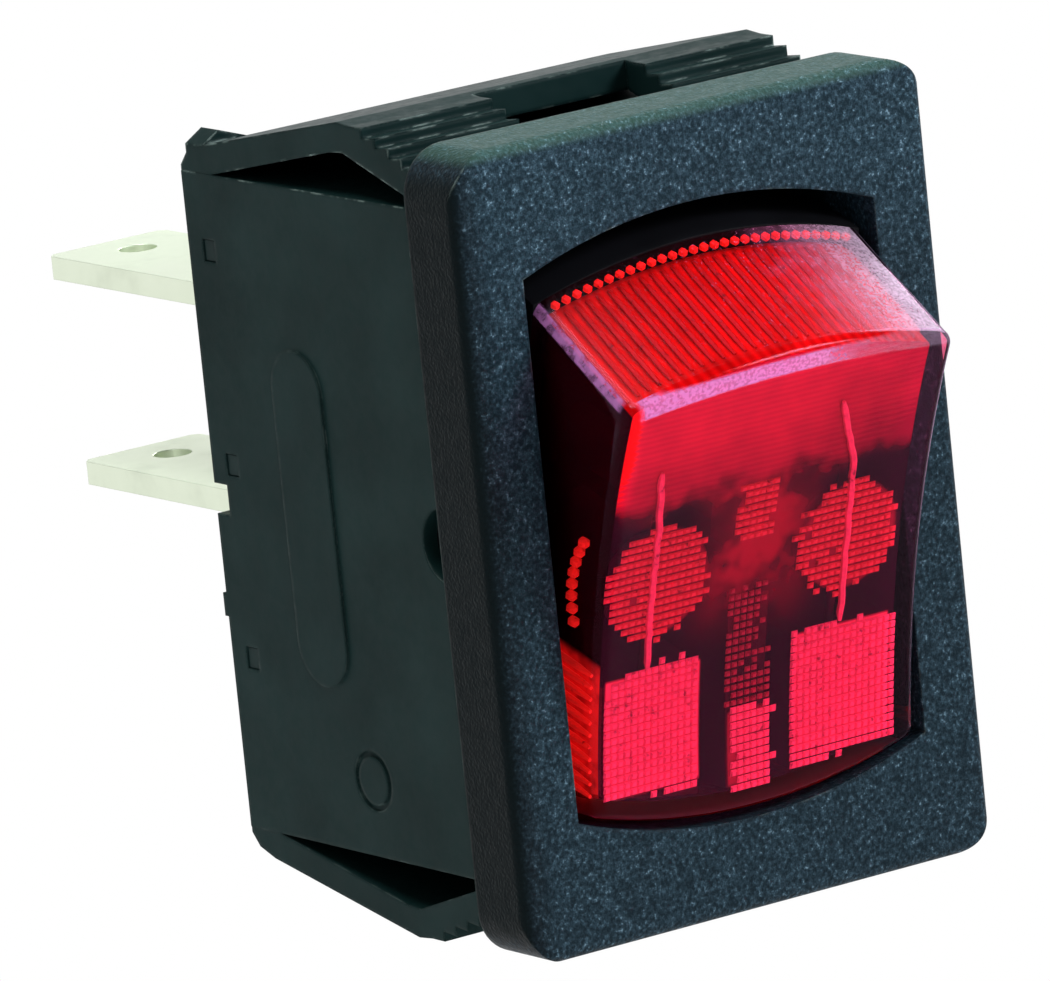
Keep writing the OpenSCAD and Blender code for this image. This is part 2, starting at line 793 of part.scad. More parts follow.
module resistor() {
    z0 = rib_z[0] - resistor_z;
    z1 = bar_z[0] - resistor_z;
    color(sand) at_rest() translate([0, resistor_y, resistor_z]) {
        cylinder(r = resistor_r, h = resistor_l, center = true);
        translate([0, 0, z0]) cylinder(r = lead_r, h = z1 - z0);
    }
}

// ---------------------------------------------------------------- assembly

housing();
terminal_base();
mirror([1, 0, 0]) terminal_line();  // terminal_line_left
terminal_line();  // terminal_line_right
mirror([1, 0, 0]) terminal_load();  // terminal_load_left
terminal_load();  // terminal_load_right
mirror([1, 0, 0]) fixed_contact();  // fixed_contact_left
fixed_contact();  // fixed_contact_right
mirror([1, 0, 0]) contact_blade();  // contact_blade_left
contact_blade();  // contact_blade_right
mirror([1, 0, 0]) moving_contact();  // moving_contact_left
moving_contact();  // moving_contact_right
rocker_carrier();
rocker_lens();
lamp_holder();
lamp();
resistor();
mirror([1, 0, 0]) lamp_lead();  // lamp_lead_left
lamp_lead();  // lamp_lead_right
mirror([1, 0, 0]) plunger_spring();  // plunger_spring_left
plunger_spring();  // plunger_spring_right
mirror([1, 0, 0]) plunger();  // plunger_left
plunger();  // plunger_right
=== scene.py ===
import json
from math import asin, cos, pi, radians, sin, sqrt
from random import Random

import bpy
from mathutils import Matrix, Vector


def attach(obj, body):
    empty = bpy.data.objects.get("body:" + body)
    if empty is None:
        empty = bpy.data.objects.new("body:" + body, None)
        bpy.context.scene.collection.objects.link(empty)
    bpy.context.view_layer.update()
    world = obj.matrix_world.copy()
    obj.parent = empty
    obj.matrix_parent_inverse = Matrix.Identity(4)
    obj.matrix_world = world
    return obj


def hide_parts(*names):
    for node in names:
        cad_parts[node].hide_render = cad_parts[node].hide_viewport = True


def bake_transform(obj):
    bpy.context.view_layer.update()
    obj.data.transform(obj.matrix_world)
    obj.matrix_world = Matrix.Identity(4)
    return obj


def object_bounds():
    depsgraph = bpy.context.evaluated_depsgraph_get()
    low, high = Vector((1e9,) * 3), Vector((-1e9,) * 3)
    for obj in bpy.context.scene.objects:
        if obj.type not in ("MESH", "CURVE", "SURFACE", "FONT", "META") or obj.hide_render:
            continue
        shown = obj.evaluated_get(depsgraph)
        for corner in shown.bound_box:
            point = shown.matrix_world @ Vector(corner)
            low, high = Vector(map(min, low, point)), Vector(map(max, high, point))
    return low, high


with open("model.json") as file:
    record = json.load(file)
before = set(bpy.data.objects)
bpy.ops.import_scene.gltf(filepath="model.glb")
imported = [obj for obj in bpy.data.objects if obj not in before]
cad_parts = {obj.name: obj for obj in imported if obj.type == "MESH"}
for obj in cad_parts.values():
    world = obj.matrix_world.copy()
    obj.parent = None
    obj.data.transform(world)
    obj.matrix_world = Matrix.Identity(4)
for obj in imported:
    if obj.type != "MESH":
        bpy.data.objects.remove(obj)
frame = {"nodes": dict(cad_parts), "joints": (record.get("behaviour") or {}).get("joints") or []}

MM = 0.001
cad_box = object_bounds()
nodes = frame["nodes"]
joint = {j["name"]: j for j in frame["joints"]}

# The rocker turns about its pivot; at rest its own frame is tilted by half its throw
PIVOT = Vector(joint["rocker_pivot"]["pos_m"])
REST_TILT = radians(joint["rocker_pivot"]["range_deg"][1] / 2)
AT_REST = Matrix.Translation(PIVOT) @ Matrix.Rotation(REST_TILT, 4, "X")


# ------------------------------------------------------------------ camera

VIEW_AZIMUTH = radians(-34.217)
VIEW_ELEVATION = radians(11.953)
VIEW_ROLL = radians(5.85)
VIEW_DISTANCE = 0.43215
ORIGIN_RIGHT = 0.004981
ORIGIN_DOWN = 0.000296
FOCAL_MM = 451.2


def make_camera():
    """A long lens to the left of the switch and a little above it, rolled clockwise."""
    forward = Vector((-sin(VIEW_AZIMUTH) * cos(VIEW_ELEVATION),
                      cos(VIEW_AZIMUTH) * cos(VIEW_ELEVATION),
                      -sin(VIEW_ELEVATION)))
    level = forward.cross(Vector((0, 0, 1))).normalized()
    upright = level.cross(forward)
    right = level * cos(VIEW_ROLL) - upright * sin(VIEW_ROLL)
    up = right.cross(forward)
    place = -(forward * VIEW_DISTANCE + right * ORIGIN_RIGHT - up * ORIGIN_DOWN)
    data = bpy.data.cameras.new("camera")
    data.lens = FOCAL_MM
    data.sensor_width = 36
    data.clip_end = 10
    camera = bpy.data.objects.new("camera", data)
    turn = Matrix((right, up, -forward)).transposed()
    camera.matrix_world = Matrix.Translation(place) @ turn.to_4x4()
    bpy.context.scene.collection.objects.link(camera)
    bpy.context.scene.camera = camera


# ------------------------------------------------------------------ light

# Strength of the soft light from all round, and of the ceiling where it is mirrored
WORLD_LEVEL = 0.45
CEILING_LEVEL = 0.15

# The floor's distance below the switch and half its width, in metres
FLOOR_GAP = 0.02
FLOOR_HALF = 1.5


def seen_or_reflected(tree):
    """1 for rays from the camera, from a mirror or through glass, 0 for the rest."""
    path = tree.nodes.new("ShaderNodeLightPath")
    seen = calc(tree, "MAXIMUM", path.outputs["Is Camera Ray"], path.outputs["Is Glossy Ray"])
    return calc(tree, "MAXIMUM", seen, path.outputs["Is Transmission Ray"])


def make_world():
    """White walls under a dim ceiling for the camera and for reflections, a soft level for the rest."""
    world = bpy.data.worlds.new("studio")
    bpy.context.scene.world = world
    world.use_nodes = True
    tree = world.node_tree
    tree.nodes.clear()
    out = tree.nodes.new("ShaderNodeOutputWorld")
    soft = tree.nodes.new("ShaderNodeBackground")
    soft.inputs["Color"].default_value = (1, 1, 1, 1)
    soft.inputs["Strength"].default_value = WORLD_LEVEL
    wall = tree.nodes.new("ShaderNodeBackground")
    wall.inputs["Color"].default_value = (1, 1, 1, 1)
    direction = tree.nodes.new("ShaderNodeTexCoord").outputs["Generated"]
    height = split(tree, direction)[2]
    path = tree.nodes.new("ShaderNodeLightPath")
    ceiling = scaled(tree, height, 0.35, 0.75, 1, CEILING_LEVEL)
    level = calc(tree, "MAXIMUM", ceiling, path.outputs["Is Camera Ray"])
    tree.links.new(level, wall.inputs["Strength"])
    mix = tree.nodes.new("ShaderNodeMixShader")
    tree.links.new(seen_or_reflected(tree), mix.inputs[0])
    tree.links.new(soft.outputs[0], mix.inputs[1])
    tree.links.new(wall.outputs[0], mix.inputs[2])
    tree.links.new(mix.outputs[0], out.inputs["Surface"])


def make_lamp(name, direction, distance, power, size, color=(1, 1, 1)):
    """A square soft box that looks at the origin from a direction; distance and size are in metres."""
    data = bpy.data.lights.new(name, "AREA")
    data.energy = power
    data.size = size
    data.color = color
    lamp = bpy.data.objects.new(name, data)
    way = Vector(direction).normalized()
    lamp.location = way * distance
    lamp.rotation_euler = (-way).to_track_quat("-Z", "Y").to_euler()
    bpy.context.scene.collection.objects.link(lamp)


def make_floor():
    """Paper under the switch: white where it is seen or mirrored, a plain matt for the rest."""
    mesh = bpy.data.meshes.new("floor")
    level = cad_box[0][2] - FLOOR_GAP
    corners = [(-FLOOR_HALF, -FLOOR_HALF, level), (FLOOR_HALF, -FLOOR_HALF, level),
               (FLOOR_HALF, FLOOR_HALF, level), (-FLOOR_HALF, FLOOR_HALF, level)]
    mesh.from_pydata(corners, [], [(0, 1, 2, 3)])
    floor = bpy.data.objects.new("floor", mesh)
    bpy.context.scene.collection.objects.link(floor)
    material, shader, tree = new_material("floor_paper", (0.9, 0.9, 0.9), 0.8)
    glow = tree.nodes.new("ShaderNodeEmission")
    glow.inputs["Strength"].default_value = 1
    mix = tree.nodes.new("ShaderNodeMixShader")
    tree.links.new(seen_or_reflected(tree), mix.inputs[0])
    tree.links.new(shader.outputs[0], mix.inputs[1])
    tree.links.new(glow.outputs[0], mix.inputs[2])
    tree.links.new(mix.outputs[0], tree.nodes["Material Output"].inputs["Surface"])
    mesh.materials.append(material)


# ------------------------------------------------------------------ material helpers

def new_material(name, color, roughness, metallic=0.0):
    """A material with its Principled shader and its tree."""
    material = bpy.data.materials.new(name)
    material.use_nodes = True
    tree = material.node_tree
    shader = tree.nodes["Principled BSDF"]
    shader.inputs["Base Color"].default_value = (*color, 1)
    shader.inputs["Roughness"].default_value = roughness
    shader.inputs["Metallic"].default_value = metallic
    return material, shader, tree


def feed(tree, value, socket):
    """Links a socket, or sets a plain number."""
    if isinstance(value, (int, float)):
        socket.default_value = value
    else:
        tree.links.new(value, socket)


def calc(tree, operation, a, b=0.0):
    node = tree.nodes.new("ShaderNodeMath")
    node.operation = operation
    feed(tree, a, node.inputs[0])
    feed(tree, b, node.inputs[1])
    return node.outputs[0]


def product(tree, first, *others):
    """Several numbers multiplied, from left to right."""
    for other in others:
        first = calc(tree, "MULTIPLY", first, other)
    return first


def drift(tree, cloud, reach):
    """A cloud from 0 to 1 turned into an offset from minus to plus half of reach."""
    return product(tree, calc(tree, "SUBTRACT", cloud, 0.5), reach)


def scaled(tree, value, low, high, to_low=0.0, to_high=1.0):
    """Smooth step: to_low where value is under low, to_high where it is over high."""
    node = tree.nodes.new("ShaderNodeMapRange")
    node.interpolation_type = "SMOOTHSTEP"
    feed(tree, value, node.inputs["Value"])
    node.inputs["From Min"].default_value = low
    node.inputs["From Max"].default_value = high
    node.inputs["To Min"].default_value = to_low
    node.inputs["To Max"].default_value = to_high
    return node.outputs["Result"]


def blend(tree, factor, a, b):
    """Number that goes from a to b as factor goes from 0 to 1."""
    node = tree.nodes.new("ShaderNodeMix")
    feed(tree, factor, node.inputs[0])
    feed(tree, a, node.inputs[2])
    feed(tree, b, node.inputs[3])
    return node.outputs[0]


def split(tree, vector):
    node = tree.nodes.new("ShaderNodeSeparateXYZ")
    tree.links.new(vector, node.inputs[0])
    return node.outputs


def coordinates(tree):
    return tree.nodes.new("ShaderNodeTexCoord").outputs["Object"]


def rocker_coordinates(tree):
    """Place in the rocker's own frame: pivot at the origin, mid-throw."""
    node = tree.nodes.new("ShaderNodeMapping")
    back = AT_REST.inverted()
    node.inputs["Location"].default_value = back.translation
    node.inputs["Rotation"].default_value = back.to_euler()
    tree.links.new(coordinates(tree), node.inputs["Vector"])
    return node.outputs["Vector"]


def rocker_normal(tree):
    """The surface's direction in the rocker's own frame."""
    node = tree.nodes.new("ShaderNodeMapping")
    node.vector_type = "NORMAL"
    node.inputs["Rotation"].default_value = AT_REST.inverted().to_euler()
    tree.links.new(tree.nodes.new("ShaderNodeTexCoord").outputs["Normal"], node.inputs["Vector"])
    return node.outputs["Vector"]


def noise(tree, vector, size, detail=2.0, roughness=0.5):
    """Noise whose features are about size metres."""
    node = tree.nodes.new("ShaderNodeTexNoise")
    node.inputs["Scale"].default_value = 1 / size
    node.inputs["Detail"].default_value = detail
    node.inputs["Roughness"].default_value = roughness
    tree.links.new(vector, node.inputs["Vector"])
    return node.outputs["Fac"]


def bands(tree, vector, axis, pitch, wobble=0.0):
    """Sine bands across an axis, pitch metres apart, from 0 to 1."""
    node = tree.nodes.new("ShaderNodeTexWave")
    node.bands_direction = axis
    node.inputs["Scale"].default_value = 2 * pi / (20 * pitch)
    node.inputs["Distortion"].default_value = wobble
    node.inputs["Detail Scale"].default_value = 0.6
    tree.links.new(vector, node.inputs["Vector"])
    return node.outputs["Fac"]


def ramp(tree, value, stops):
    """A colour ramp; stops are (position, colour)."""
    node = tree.nodes.new("ShaderNodeValToRGB")
    band = node.color_ramp
    while len(band.elements) < len(stops):
        band.elements.new(0.5)
    for element, (position, color) in zip(band.elements, stops):
        element.position = position
        element.color = (*color, 1)
    tree.links.new(value, node.inputs["Fac"])
    return node.outputs["Color"]


def mixed(tree, factor, a, b):
    """Colour that goes from a to b as factor goes from 0 to 1; each is a socket or a plain colour."""
    node = tree.nodes.new("ShaderNodeMix")
    node.data_type = "RGBA"
    feed(tree, factor, node.inputs[0])
    for color, socket in ((a, node.inputs[6]), (b, node.inputs[7])):
        if isinstance(color, tuple):
            socket.default_value = (*color, 1)
        else:
            tree.links.new(color, socket)
    return node.outputs[2]


def tinted(tree, level, color):
    """A colour socket made darker or brighter by a number."""
    node = tree.nodes.new("ShaderNodeVectorMath")
    node.operation = "SCALE"
    tree.links.new(color, node.inputs[0])
    feed(tree, level, node.inputs["Scale"])
    return node.outputs[0]


def times(color, level):
    return tuple(c * level for c in color)


def rounded_edges(tree, radius):
    """The surface's direction as if its sharp edges were rounded."""
    node = tree.nodes.new("ShaderNodeBevel")
    node.samples = 4
    node.inputs["Radius"].default_value = radius
    return node.outputs["Normal"]


def bump(tree, height, shader, distance, strength=1.0, normal=None):
    """Fine relief on a shader, over a direction that is already rounded where one is given."""
    node = tree.nodes.new("ShaderNodeBump")
    node.inputs["Distance"].default_value = distance
    feed(tree, strength, node.inputs["Strength"])
    tree.links.new(height, node.inputs["Height"])
    if normal is not None:
        tree.links.new(normal, node.inputs["Normal"])
    tree.links.new(node.outputs["Normal"], shader.inputs["Normal"])


def dress(node, material):
    """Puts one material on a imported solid."""
    mesh = nodes[node].data
    mesh.materials.clear()
    mesh.materials.append(material)


# ------------------------------------------------------------------ materials

def housing_plastic():
    """Black nylon: spark-textured on the bezel, satin on the body, with painted shade on the bezel's left
    side, painted light towards its top, and a painted highlight with pale wear along the top edges.
    """
    material, shader, tree = new_material("housing_plastic", (0.010, 0.018, 0.019), 0.42)
    shader.inputs["Specular IOR Level"].default_value = 0.05
    place = coordinates(tree)
    x, y, z = split(tree, place)

    # The bezel's grain, with painted shade darkening its left side and painted light making it brighter
    # and greener along its top
    bezel = scaled(tree, y, -0.02 * MM, -0.06 * MM)
    spark = noise(tree, place, 0.13 * MM, 2, 0.6)
    cloud = noise(tree, place, 4 * MM, 3, 0.6)
    fine = noise(tree, place, 0.5 * MM, 3, 0.6)
    satin = ramp(tree, cloud, [(0.3, (0.003, 0.012, 0.012)), (0.7, (0.007, 0.020, 0.020))])
    grain = ramp(tree, spark, [(0.38, (0.004, 0.010, 0.015)), (0.56, (0.012, 0.025, 0.036)),
                               (0.66, (0.024, 0.047, 0.066)), (0.76, (0.100, 0.155, 0.200))])
    # Painted shade: the grain is made darker towards the bezel's left side, which faces away from the
    # light
    shade = blend(tree, scaled(tree, x, -8.2 * MM, -9.3 * MM), 1.0, 0.45)
    # Painted light: brighter towards the top, where the light from above falls
    shade = product(tree, shade, scaled(tree, z, 3 * MM, 12 * MM, 0.9, 1.35))
    lit = tinted(tree, shade, grain)
    # Painted shade: the left side itself is painted nearly black
    flank_painted_shade = mixed(tree, scaled(tree, x, -9.15 * MM, -9.45 * MM), lit, (0.001, 0.004, 0.005))
    # Painted highlight: a greenish band along the lit top
    top_painted_highlight = mixed(tree, scaled(tree, z, 13.0 * MM, 13.35 * MM, 0, 0.22), flank_painted_shade, (0.06, 0.15, 0.09))
    color = mixed(tree, bezel, satin, top_painted_highlight)

    # Wear and painted highlight: pale where the edge is sharp, mostly along the lit top
    soft = rounded_edges(tree, 0.12 * MM)
    turn = tree.nodes.new("ShaderNodeVectorMath")
    turn.operation = "DOT_PRODUCT"
    tree.links.new(soft, turn.inputs[0])
    tree.links.new(tree.nodes.new("ShaderNodeNewGeometry").outputs["Normal"], turn.inputs[1])
    edge = scaled(tree, turn.outputs["Value"], 0.97, 0.85)
    patch = scaled(tree, noise(tree, place, 1.3 * MM, 3, 0.7), 0.48, 0.66)
    wear_and_highlight = product(tree, edge, patch, scaled(tree, z, 9 * MM, 12 * MM, 0.15, 0.8))
    color = mixed(tree, wear_and_highlight, color, (0.30, 0.38, 0.36))
    tree.links.new(color, shader.inputs["Base Color"])
    tree.links.new(scaled(tree, fine, 0.3, 0.7, 0.36, 0.5), shader.inputs["Roughness"])
    height = blend(tree, bezel, product(tree, fine, 0.12), spark)
    bump(tree, height, shader, 0.05 * MM, 0.8, rounded_edges(tree, 0.2 * MM))
    return material


def plain_plastic(name, color, roughness, specular=0.5):
    material, shader, tree = new_material(name, color, roughness)
    shader.inputs["Specular IOR Level"].default_value = specular
    place = coordinates(tree)
    fine = noise(tree, place, 0.3 * MM, 3)
    cloud = noise(tree, place, 3 * MM, 2)
    shades = [(0.35, times(color, 0.8)), (0.65, times(color, 1.25))]
    tree.links.new(ramp(tree, cloud, shades), shader.inputs["Base Color"])
    bump(tree, fine, shader, 0.01 * MM, 0.3, rounded_edges(tree, 0.05 * MM))
    return material


def metal(name, color, roughness, grain=(40, 1, 40), depth=0.15):
    """Plated or drawn metal with a fine directional grain."""
    material, shader, tree = new_material(name, color, roughness, 1.0)
    stretch = tree.nodes.new("ShaderNodeMapping")
    stretch.inputs["Scale"].default_value = grain
    tree.links.new(coordinates(tree), stretch.inputs["Vector"])
    streak = noise(tree, stretch.outputs["Vector"], 8 * MM, 3)
    shades = [(0.3, times(color, 0.9)), (0.7, color)]
    tree.links.new(ramp(tree, streak, shades), shader.inputs["Base Color"])
    bump(tree, streak, shader, 0.01 * MM, depth, rounded_edges(tree, 0.05 * MM))
    return material


def tinned_brass():
    """Dull tin over brass, with a few faint stains."""
    color = (0.80, 0.87, 0.71)
    material, shader, tree = new_material("tinned_brass", color, 0.4, 1.0)
    place = coordinates(tree)
    cloud = noise(tree, place, 2.2 * MM, 3, 0.6)
    fine = noise(tree, place, 0.25 * MM, 3)
    shades = [(0.26, times(color, 0.88)), (0.45, times(color, 0.97)), (0.7, color)]
    tree.links.new(ramp(tree, cloud, shades), shader.inputs["Base Color"])
    tree.links.new(scaled(tree, cloud, 0.3, 0.7, 0.46, 0.38), shader.inputs["Roughness"])
    bump(tree, fine, shader, 0.01 * MM, 0.2, rounded_edges(tree, 0.06 * MM))
    return material


def holder_with_painted_light():
    """The lamp holder: milky, with painted light on the outward sides of the pads, the front faces near
    the lens painted dimmer, and painted shade making it dark in the depth behind.
    """
    material, shader, tree = new_material("holder_plastic", (0.9, 0.85, 0.85), 0.6)
    shader.inputs["Specular IOR Level"].default_value = 0.1
    x, y, z = split(tree, rocker_coordinates(tree))
    nx, ny, _ = split(tree, rocker_normal(tree))
    fine = noise(tree, coordinates(tree), 0.3 * MM, 2, 0.6)
    # Painted light and shade: the level is set by which way a face turns and how deep it lies
    front = scaled(tree, ny, -0.5, -0.9)
    outward = scaled(tree, product(tree, nx, calc(tree, "SIGN", x)), 0.5, 0.9)
    pads = product(tree, scaled(tree, z, -3.0 * MM, -3.1 * MM),
                   scaled(tree, calc(tree, "ABSOLUTE", x), 1.4 * MM, 1.5 * MM))
    near = scaled(tree, y, -1.6 * MM, -2.2 * MM)
    lit = product(tree, outward, pads, near)
    dim = product(tree, front, near, 0.45)
    level = calc(tree, "ADD", calc(tree, "MAXIMUM", lit, dim), 0.04)
    level = product(tree, level, scaled(tree, fine, 0.3, 0.6, 0.75, 1))
    tree.links.new(mixed(tree, level, (0, 0, 0), (1, 0.7, 0.7)), shader.inputs["Base Color"])
    bump(tree, fine, shader, 0.02 * MM, 0.5)
    return material


# What is left of white light behind one wall of the lens
LENS_TINT = (1.0, 0.40, 0.56)


def clear_red(name):
    """A material that only tints what lies behind it, and its parts to build on."""
    material = bpy.data.materials.new(name)
    material.use_nodes = True
    tree = material.node_tree
    tree.nodes.remove(tree.nodes["Principled BSDF"])
    clear = tree.nodes.new("ShaderNodeBsdfTransparent")
    clear.inputs["Color"].default_value = (*LENS_TINT, 1)
    return material, tree, clear.outputs[0]


def over(tree, below, share, above):
    """One surface laid over a share of another."""
    node = tree.nodes.new("ShaderNodeMixShader")
    feed(tree, share, node.inputs[0])
    tree.links.new(below, node.inputs[1])
    tree.links.new(above, node.inputs[2])
    return node.outputs[0]


def matt(tree, color):
    """A matt surface; its colour is a socket or a plain colour."""
    node = tree.nodes.new("ShaderNodeBsdfDiffuse")
    if isinstance(color, tuple):
        node.inputs["Color"].default_value = (*color, 1)
    else:
        tree.links.new(color, node.inputs["Color"])
    return node.outputs[0]


def skin(tree, below, ior, roughness, color=(1, 1, 1), grain=0.0):
    """The lens's glossy skin over what lies below it."""
    gloss = tree.nodes.new("ShaderNodeBsdfGlossy")
    gloss.inputs["Roughness"].default_value = roughness
    gloss.inputs["Color"].default_value = (*color, 1)
    fresnel = tree.nodes.new("ShaderNodeFresnel")
    fresnel.inputs["IOR"].default_value = ior
    if grain > 0:
        pits = noise(tree, rocker_coordinates(tree), 0.12 * MM, 2, 0.6)
        bump(tree, pits, gloss, 0.05 * MM, grain)
    return over(tree, below, fresnel.outputs[0], gloss.outputs[0])


def finish(material, tree, surface):
    """The material with this surface as its look."""
    tree.links.new(surface, tree.nodes["Material Output"].inputs["Surface"])
    return material


def painted_highlight_color(tree, x):
    """The colour of the painted highlight on the lens's edges: lilac, greyer towards one corner."""
    return ramp(tree, scaled(tree, x, -1 * MM, 6 * MM),
                [(0, (0.47, 0.17, 0.45)), (1, (0.40, 0.28, 0.41))])


def ridge_painted_highlight(tree, place):
    """The painted highlight band where the face meets the upper ridge, a little flatter than the ridge.
    """
    x, y, z = split(tree, place)
    speck = noise(tree, place, 0.13 * MM, 2, 0.6)
    cloud = noise(tree, place, 0.9 * MM, 2, 0.5)
    aside = calc(tree, "SUBTRACT", x, 0.5 * MM)
    sag = product(tree, aside, aside, 0.012 / MM)
    off = calc(tree, "ABSOLUTE", calc(tree, "SUBTRACT", calc(tree, "ADD", z, sag), 7.84 * MM))
    along = calc(tree, "ADD", x, drift(tree, cloud, 3 * MM))
    return product(tree, scaled(tree, along, 3.2 * MM, 0.2 * MM, 0.2, 0.75),
                   scaled(tree, off, 0.36 * MM, 0.24 * MM),
                   scaled(tree, x, -6.25 * MM, -5.9 * MM),
                   scaled(tree, y, -6.1 * MM, -6.3 * MM),
                   scaled(tree, speck, 0.36, 0.6, 0.6, 1))


def lens_face():
    """The outer face and side walls: polished, with the lower part of the painted highlight band."""
    material, tree, look = clear_red("red_lens")
    place = rocker_coordinates(tree)
    pale = painted_highlight_color(tree, split(tree, place)[0])
    # Painted highlight laid over the clear face
    look = over(tree, look, ridge_painted_highlight(tree, place), matt(tree, pale))
    return finish(material, tree, skin(tree, look, 1.18, 0.05, (1, 0.7, 1)))


def lens_frosted():
    """The outer end walls: lightly frosted, with a painted haze of highlight and painted glints towards
    one corner.
    """
    material, tree, look = clear_red("red_lens_frosted")
    place = rocker_coordinates(tree)
    x = split(tree, place)[0]
    speck = noise(tree, place, 0.11 * MM, 2, 0.6)
    cloud = noise(tree, place, 0.8 * MM, 3, 0.6)
    reach = calc(tree, "ADD", x, drift(tree, cloud, 4 * MM))
    # Painted highlight: a pale haze towards the corner that faces the light, and painted glints
    painted_haze = product(tree, scaled(tree, reach, 1.0 * MM, 7.5 * MM, 0, 0.72),
                   scaled(tree, speck, 0.35, 0.65, 0.5, 1))
    painted_glints = product(tree, scaled(tree, speck, 0.64, 0.74, 0, 0.6),
                      scaled(tree, reach, -3 * MM, 3 * MM, 0.1, 1))
    share = calc(tree, "MAXIMUM", painted_haze, painted_glints)
    pale = ramp(tree, scaled(tree, x, 1.5 * MM, 6.6 * MM),
                [(0, (0.68, 0.15, 0.36)), (1, (0.46, 0.32, 0.44))])
    look = over(tree, look, share, matt(tree, pale))
    return finish(material, tree, skin(tree, look, 1.12, 0.3, (1, 0.8, 1), 0.5))


def lens_edge():
    """The rounded edges: a painted highlight along the upper ridge and down its corners, and faintly at
    the right.
    """
    material, tree, look = clear_red("red_lens_edge")
    place = rocker_coordinates(tree)
    x, y, z = split(tree, place)
    _, ny, nz = split(tree, rocker_normal(tree))
    cloud = noise(tree, place, 0.5 * MM, 3, 0.6)
    turned = product(tree, scaled(tree, nz, 0.15, 0.30), scaled(tree, nz, 0.82, 0.72))
    # Painted highlight down the upper corners
    corner = product(tree, scaled(tree, y, -6.3 * MM, -5.9 * MM, 0, 0.62), turned,
                     scaled(tree, z, 6.9 * MM, 7.1 * MM), scaled(tree, cloud, 0.35, 0.6, 0.3, 1))
    # Painted highlight, faint, on the right edge
    side = product(tree, scaled(tree, x, 6.3 * MM, 6.5 * MM, 0, 0.14), scaled(tree, ny, -0.2, -0.5))
    share = calc(tree, "MAXIMUM", calc(tree, "MAXIMUM", ridge_painted_highlight(tree, place), corner), side)
    look = over(tree, look, share, matt(tree, painted_highlight_color(tree, x)))
    return finish(material, tree, skin(tree, look, 1.15, 0.12, (1, 0.7, 1)))


def lens_front():
    """The inner face: ribbed and crimson at the top, with painted shade below and a painted glow in its
    middle, and painted light behind the reliefs.
    """
    material, tree, look = clear_red("red_lens_front")
    place = rocker_coordinates(tree)
    x, _, z = split(tree, place)
    cloud = noise(tree, place, 1.6 * MM, 2, 0.6)
    side = calc(tree, "ABSOLUTE", x)

    # The dim part: painted shade, with a painted glow in its middle
    glow = product(tree, scaled(tree, side, 3.2 * MM, 0.8 * MM), scaled(tree, z, -3.0 * MM, 0.5 * MM),
                   scaled(tree, cloud, 0.35, 0.62, 0.25, 1))
    depth = ramp(tree, glow, [(0, (0.026, 0.006, 0.022)), (0.5, (0.20, 0.010, 0.038)),
                              (1, (0.48, 0.02, 0.06))])

    # Painted light behind the reliefs: two discs, two pads and the foot between the pads
    disc = calc(tree, "SUBTRACT", side, 3.85 * MM)
    height = calc(tree, "SUBTRACT", z, 0.2 * MM)
    square = calc(tree, "ADD", product(tree, disc, disc), product(tree, height, height))
    discs = scaled(tree, calc(tree, "SQRT", square), 2.1 * MM, 1.8 * MM, 0, 0.52)
    tall = product(tree, scaled(tree, z, -2.9 * MM, -3.1 * MM), scaled(tree, z, -7.3 * MM, -7.0 * MM))
    pads = product(tree, scaled(tree, calc(tree, "ABSOLUTE", disc), 2.0 * MM, 1.85 * MM), tall)
    tall = product(tree, scaled(tree, z, -5.0 * MM, -5.3 * MM), scaled(tree, z, -7.9 * MM, -7.6 * MM))
    foot = product(tree, scaled(tree, side, 0.85 * MM, 0.7 * MM), tall)
    behind = calc(tree, "MAXIMUM", pads, product(tree, foot, 0.6))
    behind = calc(tree, "MAXIMUM", discs, behind)
    lit = ramp(tree, behind, [(0, (0.05, 0.003, 0.01)), (0.5, (0.42, 0.02, 0.06)),
                              (1, (0.95, 0.09, 0.20))])

    # The crimson top, with fine lines, brighter at the left edge
    lines = bands(tree, place, "Z", 0.21 * MM, 1.5)
    streak = noise(tree, place, 1.1 * MM, 2, 0.5)
    tone = calc(tree, "ADD", product(tree, lines, 0.14), product(tree, streak, 0.45))
    fall = scaled(tree, z, 3.0 * MM, 5.5 * MM, 0.08, 0.38)
    edge = scaled(tree, x, -5.2 * MM, -5.9 * MM, 0, 0.5)
    edge = calc(tree, "SUBTRACT", edge, scaled(tree, x, 0.5 * MM, 5.5 * MM, 0, 0.30))
    tone = calc(tree, "ADD", calc(tree, "ADD", tone, fall), edge)
    crimson = ramp(tree, tone, [(0.15, (0.24, 0.009, 0.045)), (0.85, (0.68, 0.027, 0.085)),
                                (1, (0.95, 0.02, 0.02))])
    brink = calc(tree, "ADD", z, drift(tree, cloud, 2.2 * MM))
    bar = scaled(tree, brink, 2.6 * MM, 3.8 * MM)
    # A dark sheet of painted shade over most of the clear face
    look = over(tree, look, 0.74, matt(tree, depth))
    # Painted light laid behind the reliefs
    look = over(tree, look, behind, matt(tree, lit))
    return finish(material, tree, over(tree, look, bar, matt(tree, crimson)))


def lens_end():
    """The inner end walls: deep red, finely ribbed."""
    material, tree, look = clear_red("red_lens_end")
    place = rocker_coordinates(tree)
    lines = bands(tree, place, "X", RIB_PITCH * MM, 0.8)
    cloud = noise(tree, place, 1.3 * MM, 2, 0.6)
    tone = calc(tree, "ADD", product(tree, lines, 0.4), product(tree, cloud, 0.9))
    red = ramp(tree, tone, [(0.3, (0.26, 0.002, 0.002)), (0.75, (0.48, 0.006, 0.005)),
                            (1, (0.66, 0.010, 0.009))])
    return finish(material, tree, over(tree, look, 0.93, matt(tree, red)))


